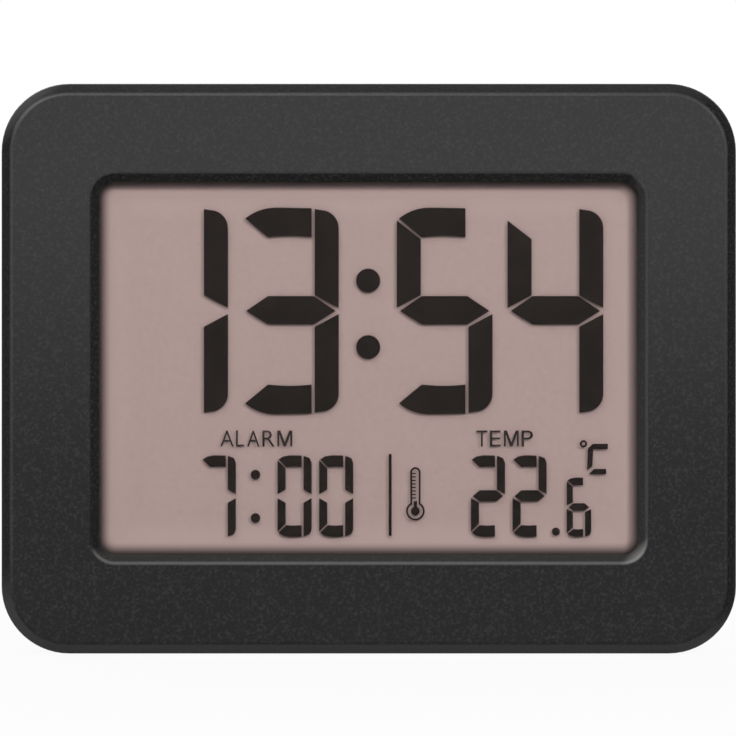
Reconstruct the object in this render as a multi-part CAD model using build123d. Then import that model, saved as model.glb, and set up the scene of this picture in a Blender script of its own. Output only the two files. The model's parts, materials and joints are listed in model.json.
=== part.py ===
"""A digital desk clock with a liquid crystal display, in millimetres.

The clock stands upright on its flat underside and faces -Y. The origin is the middle of its base:
X runs to the right as the face is read, Y from the face to the back, and Z up.
A front case and a rear cover close round the display, the circuit board and the battery pocket.
Behind are a folding foot, a battery door, five keys and an alarm switch.
"""

from build123d import *

import os
from math import sqrt

# Window in the face, and the borders round it
window_width = 121.0
window_height = 83.6
side_border = 22.0
end_border = 22.2
window_radius = 3.6
window_bevel = 2.2
window_lip = 0.4

# Housing
corner_radius = 15.2
wall = 2.2
front_case_depth = 15.0
bevel_width = 2.2
bevel_depth = 3.2
back_edge = 3.2
seam_chamfer = 0.4
seam_tongue_depth = 2.0
seam_tongue_thickness = 1.0
seam_clearance = 0.1

# Display stack, from the front to the back
lens_thickness = 1.5
lens_overlap = 3.2
gasket_thickness = 0.4
gasket_width = 2.6
polarizer_thickness = 0.2
polarizer_inset = 0.6
glass_thickness = 1.1
glass_overlap = 3.5
glass_end_overlap = 4.2
contact_ledge = 3.2
cell_gap = 0.2
seal_width = 0.8
segment_thickness = 0.1
reflector_thickness = 0.3
reflector_inset = 0.2
glass_clearance = 0.25
holder_wall = 2.0
holder_side_ledge = 12.0
holder_end_ledge = 13.0
locator_gap = 0.15
locator_thickness = 1.2
locator_length = 20.0
locator_x_share = 0.19
locator_z_share = 0.25
zebra_margin = 0.4
zebra_inset = 5.0
zebra_height = 4.2

# Lit figures, in shares of the window: widths and places across it, heights and places up it
time_across_share = 0.178
time_stroke_across_share = 0.0446
time_pitch_across_share = 0.206
hours_left_share = 0.06
minutes_left_share = 0.552
time_up_share = 0.5564
time_stroke_up_share = 0.0766
time_base_share = 0.3772
colon_across_share = 0.4988
colon_radius_share = 0.0323
colon_up_shares = (0.737, 0.558)
small_across_share = 0.0633
small_stroke_across_share = 0.015
small_pitch_across_share = 0.0774
alarm_hour_left_share = 0.1894
alarm_minutes_left_share = 0.3303
temperature_left_share = 0.6899
small_up_share = 0.2198
small_stroke_up_share = 0.0304
small_base_share = 0.0471
small_colon_across_share = 0.2892
small_colon_radius_share = 0.0132
small_colon_up_shares = (0.2147, 0.0981)
tenths_left_share = 0.868
tenths_across_share = 0.0455
tenths_stroke_across_share = 0.0114
tenths_up_share = 0.16
tenths_stroke_up_share = 0.0203
point_across_share = 0.848
point_up_share = 0.0616
point_radius_share = 0.011
divider_across_share = 0.5397
divider_base_share = 0.05
divider_up_share = 0.2205
divider_line_share = 0.0054
segment_gap = 0.69
small_gap = 0.44
small_dot_sides = 12

# Shape of a figure, in shares of its width and height
tip_across_share = 0.0225
tip_drop_share = 0.053
shoulder_across_share = 0.156
shoulder_drop_share = 0.0168
crown_across_share = 0.35
level_end_drop_share = 0.003
level_bow_share = 0.0066
middle_rise_share = 0.0033
side_tip_drop_share = 0.0623
corner_round_share = 0.188
corner_drop_share = 0.012
upright_drop_share = 0.007

# Circuit board and what it carries
board_thickness = 1.2
board_clearance = 1.5
board_margin = 3.5
post_side = 6.0
post_gap = 0.75
post_x_share = 0.76
chip_side = 12.0
chip_height = 1.6
chip_inset = 20.0
chip_rise = 27.5
crystal_radius = 1.0
crystal_length = 6.0
crystal_lead = 0.3
crystal_to_chip = 14.0
small_part_length = 2.0
small_part_width = 1.25
small_part_height = 0.8
small_part_pitch = 4.0
small_part_count = 6

# How far two pieces of one part run into each other, or two loose ones stay apart
joint_gap = 0.05

# Battery cells and their pocket
cell_radius = 5.25
cell_length = 43.7
cell_nub_radius = 1.9
cell_nub_length = 0.8
cell_gap_between = 0.5
cell_shift = 1.2
cell_clearance = 0.3
cell_end_room = 4.65
pocket_wall = 1.5
pocket_to_board = 2.175
cradle_share = 0.33
contact_thickness = 0.4
contact_width = 8.6
contact_height = 9.4
contact_bow_width = 5.0
contact_tag_width = 3.0
contact_tag_length = 3.2
contact_slot_clearance = 0.1
lead_radius = 0.6
lead_sides = 8
lead_spread = 6.0
lead_corner = 2.5

# Battery door
door_side_margin = 3.5
door_end_margin = 3.5
door_thickness = 1.8
door_corner = 2.0
door_gap = 0.25
door_sink = 0.1
door_ledge = 1.6
hook_width = 8.0
hook_spacing_share = 0.6
hook_reach = 2.4
hook_depth = 1.4
latch_width = 12.0
latch_slot = 0.8
latch_length = 6.5
catch_reach = 0.15
catch_width = 8.0
catch_thickness = 0.8
grip_count = 4
grip_pitch = 1.4
grip_width = 0.6
grip_depth = 0.4

# Folding foot
foot_width = 56.0
foot_taper = 4.0
foot_thickness = 3.0
foot_tip_round = 5.0
foot_sink = 0.3
foot_gap = 0.4
foot_floor_gap = 0.3
foot_axis_z = 9.0
foot_to_door = 8.1
foot_barrel_radius = 2.5
foot_barrel_gap = 0.4
trunnion_radius = 1.5
trunnion_length = 2.4
trunnion_clearance = 0.08
foot_rib_count = 3
foot_rib_width = 1.2
foot_rib_depth = 0.8
foot_rib_length_share = 0.6
finger_notch_length = 22.0
finger_notch_width = 11.0
finger_notch_depth = 2.6
recess_wall = 1.6

# Keys, their switches and the alarm switch
key_count = 5
key_pitch = 15.0
key_row_drop = 13.5
door_drop = 26.0
key_length = 9.0
key_width = 5.0
key_travel = 0.5
key_clearance = 0.2
key_flange = 1.0
key_flange_thickness = 1.0
key_stem_side = 3.2
key_sink = 0.2
knob_edge = 0.4
panel_margin = 4.5
panel_height = 9.6
panel_depth = 1.6
panel_thickness = 1.6
switch_side = 6.0
switch_height = 3.5
plunger_side = 3.2
plunger_clearance = 0.1
plunger_rise = 6.0
plunger_seat = 0.8
slide_to_keys = 18.0
slide_travel = 2.5
slide_knob_length = 5.0
slide_knob_width = 4.6
slide_neck_length = 3.0
slide_neck_width = 2.4
slide_clearance = 0.3
slide_body_length = 9.0
slide_body_width = 4.4
slide_lever_side = 1.5
slide_lever_rise = 5.5
slide_socket_depth = 1.4
slide_rib_count = 3
slide_rib_width = 0.5
slide_rib_depth = 0.4

# Hanging slot, sound holes and vents
keyhole_radius = 4.0
keyhole_slot_width = 4.2
keyhole_drop = 18.5
keyhole_rise = 7.0
keyhole_pocket_depth = 4.0
keyhole_pocket_wall = 1.5
keyhole_pocket_margin = 2.0
sounder_radius = 4.8
sounder_height = 5.0
sound_slot_count = 5
sound_slot_pitch = 3.2
sound_slot_width = 1.4
sound_circle_radius = 8.0
vent_count = 5
vent_pitch = 4.0
vent_width = 1.6
vent_length = 14.0
sensor_side = 3.2
sensor_length = 3.0
sensor_rise = 9.0
sensor_leg_side = 0.6
sensor_leg_spacing = 1.8

# Bosses and wells of the case screws
case_screw_inset = 11.5
boss_side = 7.0
boss_rib = 1.2
boss_rib_drop = 4.0
screw_well_radius = 2.9
screw_seat_depth = 5.5
screw_seat_thickness = 2.5
screw_radius = 1.3
screw_length = 10.0
screw_hole_clearance = 0.2

# How far a cutting tool runs past the face that it opens
overrun = 1.0

# The body's size, from what it holds
body_width = window_width + 2 * side_border
body_height = window_height + 2 * end_border
centre_z = body_height / 2
front_plate = window_bevel + window_lip
front_stack = front_plate + lens_thickness + gasket_thickness + polarizer_thickness + glass_thickness
front_stack += zebra_height + board_thickness
pocket_depth = 2 * (cell_radius + cell_clearance)
back_stack = pocket_wall + pocket_depth + door_gap / 2 + door_thickness + door_sink
body_depth = front_stack + pocket_to_board + back_stack

# Planes that several pieces share
face_y = -body_depth / 2
back_y = body_depth / 2
seam_y = face_y + front_case_depth
lens_front = face_y + front_plate
lens_back = lens_front + lens_thickness
gasket_back = lens_back + gasket_thickness
front_glass_front = gasket_back + polarizer_thickness
front_glass_back = front_glass_front + glass_thickness
cell_gap_back = front_glass_back + cell_gap
rear_glass_back = cell_gap_back + glass_thickness
reflector_back = rear_glass_back + reflector_thickness
board_front = front_glass_back + zebra_height
board_back = board_front + board_thickness
cover_inside = back_y - wall

# Display, holder and board outlines
window_left = -window_width / 2
window_base = centre_z - window_height / 2
lens_width = window_width + 2 * lens_overlap
lens_height = window_height + 2 * lens_overlap
glass_width = window_width + 2 * glass_overlap
front_glass_height = window_height + 2 * glass_end_overlap
rear_glass_height = front_glass_height - 2 * contact_ledge
holder_width = glass_width + 2 * glass_clearance + 2 * holder_wall
holder_height = front_glass_height + 2 * glass_clearance + 2 * holder_wall
post_offset = (holder_height + post_side) / 2 + post_gap
boss_offset = (holder_height + boss_side) / 2 + post_gap
case_screw_x = body_width / 2 - case_screw_inset
board_width = 2 * (case_screw_x - boss_side / 2 - board_clearance)
board_height = 2 * (post_offset + board_margin)
board_base = centre_z - board_height / 2
post_x = post_x_share * board_width / 2
chip_x = board_width / 2 - chip_inset
chip_z = board_base + chip_rise

# Back, from the top down: hanging slot, keys, battery door, folding foot
cell_pitch = 2 * cell_radius + cell_gap_between
pocket_length = cell_length + 2 * cell_end_room
pocket_height = cell_pitch + pocket_depth
door_width = pocket_length + 2 * door_side_margin
door_height = pocket_height + 2 * door_end_margin
keyhole_z = body_height - keyhole_drop
key_row_z = keyhole_z - key_row_drop
pocket_z = key_row_z - door_drop
door_base = pocket_z - door_height / 2
door_recess_floor = back_y - door_sink - door_thickness - door_gap / 2
door_ledge_inside = door_recess_floor - door_ledge
cell_y = door_recess_floor - cell_clearance - cell_radius
pocket_floor = cell_y - cell_radius - cell_clearance
pocket_end = pocket_length / 2
contact_face = pocket_end - contact_thickness
hook_spacing = hook_spacing_share * door_width

foot_reach = door_base - foot_to_door - foot_axis_z
foot_tip_width = foot_width - 2 * foot_taper
foot_back = back_y - foot_sink
foot_front = foot_back - foot_thickness
foot_axis_y = foot_back - foot_barrel_radius
foot_recess_floor = foot_front - foot_rib_depth - foot_floor_gap
foot_recess_base = foot_axis_z - foot_barrel_radius - foot_barrel_gap
foot_recess_top = foot_axis_z + foot_reach + foot_gap
foot_trough_floor = foot_axis_y - foot_barrel_radius - foot_barrel_gap
foot_trough_top = foot_axis_z + foot_barrel_radius + foot_barrel_gap

key_row_end = key_pitch * (key_count - 1) / 2 + key_length / 2
slide_x = -key_pitch * (key_count - 1) / 2 - slide_to_keys
panel_left = slide_x - slide_knob_length / 2 - panel_margin
panel_right = key_row_end + panel_margin
panel_x = (panel_left + panel_right) / 2
panel_width = panel_right - panel_left
panel_floor = back_y - panel_depth
panel_inside = panel_floor - panel_thickness
key_top = back_y - key_sink
key_flange_back = panel_inside - key_clearance
key_flange_front = key_flange_back - key_flange_thickness
switch_top = board_back + switch_height
plunger_top = switch_top + plunger_rise
screw_seat = back_y - screw_seat_depth
boss_meet = screw_seat - screw_seat_thickness
beside_door = (door_width / 2 + body_width / 2) / 2


def prism(profile, front, back):
    """A profile drawn in X and Z, made solid between two depths."""
    plane = Plane(origin=(0, back, 0), x_dir=(1, 0, 0), z_dir=(0, -1, 0))
    return extrude(plane * profile, amount=back - front)


def rod(x, z, radius, front, back):
    """A round bar along Y."""
    return prism(Pos(x, z) * Circle(radius), front, back)


def bar(width, height, front, back, x=0.0, z=0.0):
    """A square-cornered block between two depths, centred on x and z."""
    return prism(Pos(x, z) * Rectangle(width, height), front, back)


def box_between(low, high):
    """A block between two corners."""
    size = [b - a for a, b in zip(low, high)]
    middle = [(a + b) / 2 for a, b in zip(low, high)]
    return Pos(*middle) * Box(*size)


def outline(inset=0.0):
    """The housing's rounded outline, drawn in by inset."""
    return Pos(0, centre_z) * RectangleRounded(
        body_width - 2 * inset, body_height - 2 * inset, corner_radius - inset
    )


def rounded(width, height, radius, x=0.0, z=centre_z):
    """A rounded rectangle centred on x and z."""
    return Pos(x, z) * RectangleRounded(width, height, radius)


def rectangle_ring(outer_width, outer_height, inner_width, inner_height):
    """A rectangular frame outline about the middle of the display."""
    return Pos(0, centre_z) * (Rectangle(outer_width, outer_height) - Rectangle(inner_width, inner_height))


def edges_at_depth(shape, depth):
    """The edges of a shape that lie wholly at one depth."""
    return shape.edges().filter_by_position(Axis.Y, depth, depth)


def post_places():
    """Where the board's four posts stand, as X and Z."""
    return [(x, centre_z + z) for x in (-post_x, post_x) for z in (-post_offset, post_offset)]


def case_screw_places():
    """Where the four case screws stand, as X and Z."""
    return [(x, centre_z + z) for x in (-case_screw_x, case_screw_x) for z in (-boss_offset, boss_offset)]


def key_places():
    """The middle of each key along X, from the left as the back is read."""
    return [key_pitch * ((key_count - 1) / 2 - i) for i in range(key_count)]


# Housing


def bevelled_front():
    """The front case's outer form: a flat face whose edge falls away in a slope."""
    body = prism(outline(), face_y + bevel_depth, seam_y)
    plane = Plane(origin=(0, face_y + bevel_depth, 0), x_dir=(1, 0, 0), z_dir=(0, -1, 0))
    # The slope's angle from the sides, whose tangent is the bevel's width over its depth.
    slope = Vector(bevel_depth, bevel_width).get_angle(Vector(1, 0))
    body += extrude(plane * outline(), amount=bevel_depth, taper=slope)
    return chamfer(edges_at_depth(body, seam_y), seam_chamfer)


def window_cut():
    """The window's opening: a straight lip, and a slope that widens towards the face."""
    opening = rounded(window_width, window_height, window_radius)
    cut = prism(opening, lens_front - window_lip - overrun, lens_front + overrun)
    plane = Plane(origin=(0, lens_front - window_lip, 0), x_dir=(1, 0, 0), z_dir=(0, -1, 0))
    slope_angle = Vector(1, 1).get_angle(Vector(1, 0))
    return cut + extrude(plane * opening, amount=window_bevel, taper=-slope_angle)


def front_case():
    """The front case: face, window, screw bosses, board posts and the tongue that locates the cover."""
    case = bevelled_front() - prism(outline(wall), lens_front, seam_y + overrun)
    case -= window_cut()
    tongue_outside = outline(wall - seam_tongue_thickness)
    case += prism(tongue_outside, seam_y - wall, seam_y + seam_tongue_depth) - prism(
        outline(wall), lens_front, seam_y + seam_tongue_depth + overrun
    )
    for piece in [lens_kerb()] + holder_locators() + boss_ribs():
        case += piece
    for x, z in case_screw_places():
        case += bar(boss_side, boss_side, lens_front, boss_meet, x, z)
        case -= rod(x, z, screw_radius, screw_seat - screw_length - joint_gap, boss_meet + overrun)
    for x, z in post_places():
        case += bar(post_side, post_side, lens_front, board_front, x, z)
    return case


def lens_kerb():
    """A low kerb on the back of the face that the lens lies inside."""
    inner = lens_width + 2 * locator_gap, lens_height + 2 * locator_gap
    outer = [size + 2 * locator_thickness for size in inner]
    return prism(rectangle_ring(*outer, *inner), lens_front, lens_back)


def holder_locators():
    """Eight ribs on the back of the face that the display holder drops between."""
    beside = holder_width / 2 + locator_gap + locator_thickness / 2
    above = holder_height / 2 + locator_gap + locator_thickness / 2
    ribs = []
    for i in (-1, 1):
        for j in (-1, 1):
            z = centre_z + j * locator_z_share * holder_height
            ribs.append(bar(locator_thickness, locator_length, lens_front, rear_glass_back, i * beside, z))
            x = i * locator_x_share * holder_width
            z = centre_z + j * above
            ribs.append(bar(locator_length, locator_thickness, lens_front, rear_glass_back, x, z))
    return ribs


def boss_ribs():
    """Two ribs from each screw boss to the case's walls."""
    inside = prism(outline(wall / 2), lens_front, boss_meet)
    ribs = []
    for x, z in case_screw_places():
        side = 1 if x > 0 else -1
        end = 1 if z > centre_z else -1
        reach_x = body_width / 2 - abs(x)
        reach_z = body_height / 2 - abs(z - centre_z)
        top = seam_y - boss_rib_drop
        sideways = bar(reach_x, boss_rib, lens_front, top, x + side * reach_x / 2, z)
        endways = bar(boss_rib, reach_z, lens_front, top, x, z + end * reach_z / 2)
        ribs.append((sideways + endways) & inside)
    return ribs


def cover_shell():
    """The rear cover's bare shell, with its sloping back edge and the groove for the tongue."""
    shell = prism(outline(), seam_y, back_y)
    shell = chamfer(edges_at_depth(shell, back_y), back_edge)
    shell = chamfer(edges_at_depth(shell, seam_y), seam_chamfer)
    shell -= prism(outline(wall), seam_y - overrun, cover_inside)
    groove = outline(wall - seam_tongue_thickness - seam_clearance)
    return shell - prism(groove, seam_y - overrun, seam_y + seam_tongue_depth + seam_clearance)


def foot_outline(grow=0.0):
    """The foot's outline from its axis up: it tapers to a tip with rounded corners."""
    half, tip_half = foot_width / 2 + grow, foot_tip_width / 2 + grow
    tip_z = foot_axis_z + foot_reach + grow
    corners = [(-half, foot_axis_z), (half, foot_axis_z), (tip_half, tip_z), (-tip_half, tip_z)]
    shape = make_face(Polyline(*corners, close=True))
    return fillet(shape.vertices().filter_by_position(Axis.Y, tip_z, tip_z), foot_tip_round + grow)


def foot_recess(grow=0.0):
    """The hollow that the folded foot lies in, or the block round it when grown."""
    half = foot_width / 2 + foot_gap + grow
    hollow = prism(foot_outline(foot_gap + grow), foot_recess_floor - grow, back_y + overrun)
    return hollow + box_between(
        (-half, foot_trough_floor - grow, foot_recess_base - grow),
        (half, back_y + overrun, foot_trough_top + grow),
    )


def trunnion_lugs():
    """Two lugs beside the foot's recess, for its trunnions' seats."""
    half = foot_width / 2 + foot_gap
    reach = trunnion_length + recess_wall
    side = 2 * (trunnion_radius + recess_wall)
    lug = Pos(half + reach / 2 - joint_gap, foot_axis_y, foot_axis_z) * Box(reach, side, side)
    return lug + mirror(lug, about=Plane.YZ)


def trunnion_seats():
    """The two round seats that the foot's trunnions turn in."""
    length = foot_width + 2 * (foot_gap + trunnion_length)
    seats = Rot(0, 90, 0) * Cylinder(trunnion_radius + trunnion_clearance, length)
    return Pos(0, foot_axis_y, foot_axis_z) * seats


def battery_blocks():
    """The battery pocket's walls and the ledge that the door lies on."""
    width = pocket_length + 2 * pocket_wall
    height = pocket_height + 2 * pocket_wall
    pocket = bar(width, height, pocket_floor - pocket_wall, cover_inside, 0, pocket_z)
    ledge_width = door_width + 2 * door_gap + 2 * pocket_wall
    ledge_height = door_height + 2 * door_gap + 2 * pocket_wall
    return pocket + bar(ledge_width, ledge_height, door_ledge_inside, cover_inside, 0, pocket_z)


def battery_cuts():
    """The pocket, the door's recess, the hooks' slots and the slots for the contacts' tags."""
    recess_size = door_width + 2 * door_gap, door_height + 2 * door_gap
    recess = rounded(*recess_size, door_corner + door_gap, 0, pocket_z)
    cuts = [
        prism(recess, door_recess_floor, back_y + overrun),
        bar(pocket_length, pocket_height, pocket_floor, back_y, 0, pocket_z),
    ]
    slot_width = hook_width + 2 * door_gap
    slot_base = door_base - hook_reach - 2 * door_gap
    slot_top = pocket_z - pocket_height / 2 + joint_gap
    slot_front = door_ledge_inside - hook_depth - 2 * door_gap
    for x in (-hook_spacing / 2, hook_spacing / 2):
        left, right = x - slot_width / 2, x + slot_width / 2
        cuts.append(box_between((left, slot_front, slot_base), (right, cover_inside, slot_top)))
        cuts.append(box_between((left, slot_front, door_base - door_gap), (right, back_y, slot_top)))
    return cuts


def cell_cradles():
    """Ribs on the pocket's floor that the two cells lie in."""
    ribs = []
    for x in (-cradle_share * cell_length, cradle_share * cell_length):
        block = box_between(
            (x - pocket_wall / 2, pocket_floor, pocket_z - pocket_height / 2),
            (x + pocket_wall / 2, cell_y, pocket_z + pocket_height / 2),
        )
        for z in (-cell_pitch / 2, cell_pitch / 2):
            trough = Rot(0, 90, 0) * Cylinder(cell_radius + joint_gap, pocket_length)
            block -= Pos(0, cell_y, pocket_z + z) * trough
        ribs.append(block)
    return ribs


def keyhole_outline(grow=0.0):
    """The hanging slot: a round hole for the screw's head, and a narrow slot above it for the shank."""
    slot_radius = keyhole_slot_width / 2 + grow
    hole = Pos(0, keyhole_z) * Circle(keyhole_radius + grow)
    top = keyhole_z + keyhole_rise
    slot = Pos(0, keyhole_z + keyhole_rise / 2) * Rectangle(2 * slot_radius, keyhole_rise)
    return hole + slot + Pos(0, top) * Circle(slot_radius)


def keyhole_pocket(grow=0.0):
    """The closed pocket behind the hanging slot, or the block round it when grown."""
    width = 2 * (keyhole_radius + keyhole_pocket_margin + grow)
    height = 2 * keyhole_radius + keyhole_rise + 2 * (keyhole_pocket_margin + grow)
    middle = keyhole_z - keyhole_radius - keyhole_pocket_margin - grow + height / 2
    front = cover_inside - keyhole_pocket_depth - grow
    return bar(width, height, front, cover_inside, 0, middle)


def sound_slots():
    """Upright slots over the sounder, whose ends lie on one circle."""
    slots = []
    for i in range(sound_slot_count):
        offset = sound_slot_pitch * (i - (sound_slot_count - 1) / 2)
        length = 2 * sqrt(sound_circle_radius**2 - offset**2)
        x = beside_door + offset
        slots.append(bar(sound_slot_width, length, cover_inside - overrun, back_y + overrun, x, pocket_z))
    return slots


def vents():
    """Upright slots that let the room's air reach the temperature sensor."""
    slots = []
    for i in range(vent_count):
        x = vent_pitch * (i - (vent_count - 1) / 2) - beside_door
        slots.append(bar(vent_width, vent_length, cover_inside - overrun, back_y + overrun, x, pocket_z))
    return slots


def panel_outline(grow=0.0):
    """The sunken panel that the keys and the alarm switch stand in."""
    return Pos(panel_x, key_row_z) * SlotOverall(panel_width + 2 * grow, panel_height + 2 * grow)


def key_outline(grow=0.0):
    """A key's rounded outline about its own middle."""
    return SlotOverall(key_length + 2 * grow, key_width + 2 * grow)


def slide_outline(grow=0.0):
    """The alarm switch's slot, long enough for the neck's travel."""
    length = slide_neck_length + slide_travel + 2 * grow
    return Pos(slide_x + slide_travel / 2, key_row_z) * Rectangle(length, slide_neck_width + 2 * grow)


def rear_cover():
    """The rear cover with every pocket, slot and boss that the back of the clock has."""
    cover = cover_shell()
    inside = prism(outline(wall / 2), seam_y, back_y - joint_gap)
    cover += foot_recess(recess_wall) & inside
    cover += trunnion_lugs() & inside
    cover += battery_blocks()
    cover += prism(panel_outline(recess_wall), panel_inside, cover_inside)
    cover += keyhole_pocket(keyhole_pocket_wall)
    for x, z in case_screw_places():
        cover += bar(boss_side, boss_side, boss_meet, cover_inside, x, z)

    cover -= foot_recess()
    cover -= trunnion_seats()
    notch = Pos(0, foot_recess_top) * SlotOverall(finger_notch_length, finger_notch_width)
    cover -= prism(notch, back_y - finger_notch_depth, back_y + overrun)
    for cut in battery_cuts():
        cover -= cut
    for rib in cell_cradles():
        cover += rib
    cover -= prism(panel_outline(), panel_floor, back_y + overrun)
    for x in key_places():
        cover -= prism(Pos(x, key_row_z) * key_outline(key_clearance), panel_inside - overrun, back_y)
    cover -= prism(slide_outline(slide_clearance), panel_inside - overrun, back_y)
    cover -= prism(keyhole_outline(), cover_inside - joint_gap, back_y + overrun)
    cover -= keyhole_pocket()
    for cut in sound_slots() + vents():
        cover -= cut
    for x, z in case_screw_places():
        cover -= rod(x, z, screw_radius + screw_hole_clearance, boss_meet - overrun, back_y)
        cover -= rod(x, z, screw_well_radius, screw_seat, back_y + overrun)
    return cover


# Display


def window_lens():
    """The clear lens glued behind the face."""
    return bar(lens_width, lens_height, lens_front, lens_back, 0, centre_z)


def display_gasket():
    """The foam frame between the lens and the glass, just outside the window."""
    inner = window_width + 2 * joint_gap, window_height + 2 * joint_gap
    ring = rectangle_ring(inner[0] + 2 * gasket_width, inner[1] + 2 * gasket_width, *inner)
    return prism(ring, lens_back, gasket_back)


def glass_sheet(inset, height, front, back):
    """A sheet of the display, as wide as its glass less an inset all round."""
    return bar(glass_width - 2 * inset, height - 2 * inset, front, back, 0, centre_z)


def display_seal():
    """The thin seal between the two glasses."""
    outer = glass_width - seal_width, rear_glass_height - joint_gap
    ring = rectangle_ring(*outer, outer[0] - 2 * seal_width, outer[1] - 2 * seal_width)
    return prism(ring, front_glass_back, cell_gap_back)


def display_holder():
    """The frame that carries the glass and both connector strips on the board."""
    holder = bar(holder_width, holder_height, gasket_back, board_front, 0, centre_z)
    seat_width = glass_width + 2 * glass_clearance
    front_seat_height = front_glass_height + 2 * glass_clearance
    rear_seat_height = rear_glass_height + 2 * glass_clearance
    holder -= bar(seat_width, front_seat_height, gasket_back - overrun, front_glass_back, 0, centre_z)
    holder -= bar(seat_width, rear_seat_height, gasket_back - overrun, reflector_back, 0, centre_z)
    opening = glass_width - 2 * holder_side_ledge, front_glass_height - 2 * holder_end_ledge
    holder -= bar(*opening, gasket_back, board_front + overrun, 0, centre_z)
    for z in zebra_heights():
        slot = [size + 2 * glass_clearance for size in zebra_size()]
        holder -= bar(*slot, gasket_back, board_front + overrun, 0, z)
    return holder


def zebra_heights():
    """The middle of each connector strip, under the glass's contact ledges."""
    offset = front_glass_height / 2 - contact_ledge / 2
    return centre_z - offset, centre_z + offset


def zebra_size():
    """A connector strip's length and width."""
    return glass_width - 2 * zebra_inset, contact_ledge - 2 * zebra_margin


def zebra_strip(z):
    """A rubber strip of carbon layers that joins the glass's ledge to the board."""
    return bar(*zebra_size(), front_glass_back, board_front, 0, z)


def closed_face(*edges):
    """The face inside a closed run of edges."""
    return make_face(Curve() + list(edges))


def bend(start, through, end, curved):
    """A bend through three points: an arc, or two straight lines where the figure is small."""
    if curved:
        return [ThreePointArc(start, through, end)]
    return [Line(start, through), Line(through, end)]


def level_stroke(width, height, across, down, gap, curved):
    """A figure's top stroke: a slanted tip at the left, a square end at the right, a bowed top and base."""
    tip = (tip_across_share * width, height - tip_drop_share * height)
    shoulder = (shoulder_across_share * width, height - shoulder_drop_share * height)
    crown = (crown_across_share * width, height)
    right = width - across - gap
    right_top = (right, height - level_end_drop_share * height)
    left = across + gap / 3
    base = height - down - level_bow_share * height
    right_base, left_base = (right, base), (left, base)
    base_middle = ((left + right) / 2, height - down)
    return closed_face(
        *bend(tip, shoulder, crown, curved),
        Line(crown, right_top),
        Line(right_top, right_base),
        *bend(right_base, base_middle, left_base, curved),
        Line(left_base, tip),
    )


def left_stroke(height, across, down, gap):
    """A digit's upper left stroke, mitred at both ends."""
    middle = height / 2
    return make_face(
        Polyline(
            (0, height - side_tip_drop_share * height),
            (across, height - down - gap),
            (across, middle + (down + gap) / 2),
            (0, middle + gap),
            close=True,
        )
    )


def right_stroke(width, height, across, down, gap, curved):
    """A digit's upper right stroke, which runs to the top and has a round outer corner."""
    middle = height / 2
    inner = width - across
    corner = corner_round_share * width
    corner_top = height - corner_drop_share * height
    # How far the middle of the round corner lies inside the square one, along each axis.
    diagonal = corner * (1 - sqrt(1 / 2))
    top = (inner, height - upright_drop_share * height)
    arc_start = (width - corner, corner_top)
    arc_end = (width, corner_top - corner)
    foot = (width, middle + gap)
    heel = (inner, middle + (down + gap) / 2)
    return closed_face(
        Line(top, arc_start),
        *bend(arc_start, (width - diagonal, corner_top - diagonal), arc_end, curved),
        Line(arc_end, foot),
        Line(foot, heel),
        Line(heel, top),
    )


def middle_stroke(width, height, across, down, gap):
    """A digit's middle stroke, pointed at both ends, with its level edges a little raised."""
    middle = height / 2
    left, right = across + gap / 3, width - across - gap / 3
    top = middle + down / 2 + middle_rise_share * height
    base = top - down
    return make_face(
        Polyline(
            (gap, middle),
            (left, top),
            (right, top),
            (width - gap, middle),
            (right, base),
            (left, base),
            close=True,
        )
    )


def digit_segments(width, height, across, down, gap, curved):
    """The seven segments of a figure as faces, by letter, with the figure's lower left corner at zero.

    across is the width of the upright strokes and down the height of the level ones.
    """

    def lower(face):
        return Pos(0, height) * mirror(face, about=Plane.XZ)

    level = level_stroke(width, height, across, down, gap, curved)
    left = left_stroke(height, across, down, gap)
    right = right_stroke(width, height, across, down, gap, curved)
    return {
        "a": level,
        "b": right,
        "c": lower(right),
        "d": lower(level),
        "e": lower(left),
        "f": left,
        "g": middle_stroke(width, height, across, down, gap),
    }


lit_segments = {
    "0": "abcdef",
    "1": "bc",
    "2": "abged",
    "3": "abgcd",
    "4": "fgbc",
    "5": "afgcd",
    "6": "afgedc",
    "7": "abc",
}


def digit(figure, left, base, size):
    """The lit segments of one figure, as faces in the display's plane."""
    segments = digit_segments(*size)
    return [Pos(left, base) * segments[letter] for letter in lit_segments[figure]]


def across(share):
    """The place across the window at a share of its width from its left side."""
    return window_left + share * window_width


def up(share):
    """The place up the window at a share of its height from its base."""
    return window_base + share * window_height


def time_faces():
    """The large figures of the time, 13:54, with their colon."""
    size = (
        time_across_share * window_width,
        time_up_share * window_height,
        time_stroke_across_share * window_width,
        time_stroke_up_share * window_height,
        segment_gap,
        True,
    )
    pitch, base = time_pitch_across_share * window_width, up(time_base_share)
    hours, minutes = across(hours_left_share), across(minutes_left_share)
    faces = digit("1", hours, base, size) + digit("3", hours + pitch, base, size)
    faces += digit("5", minutes, base, size) + digit("4", minutes + pitch, base, size)
    dot = Circle(colon_radius_share * window_height)
    return faces + [Pos(across(colon_across_share), up(share)) * dot for share in colon_up_shares]


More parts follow.
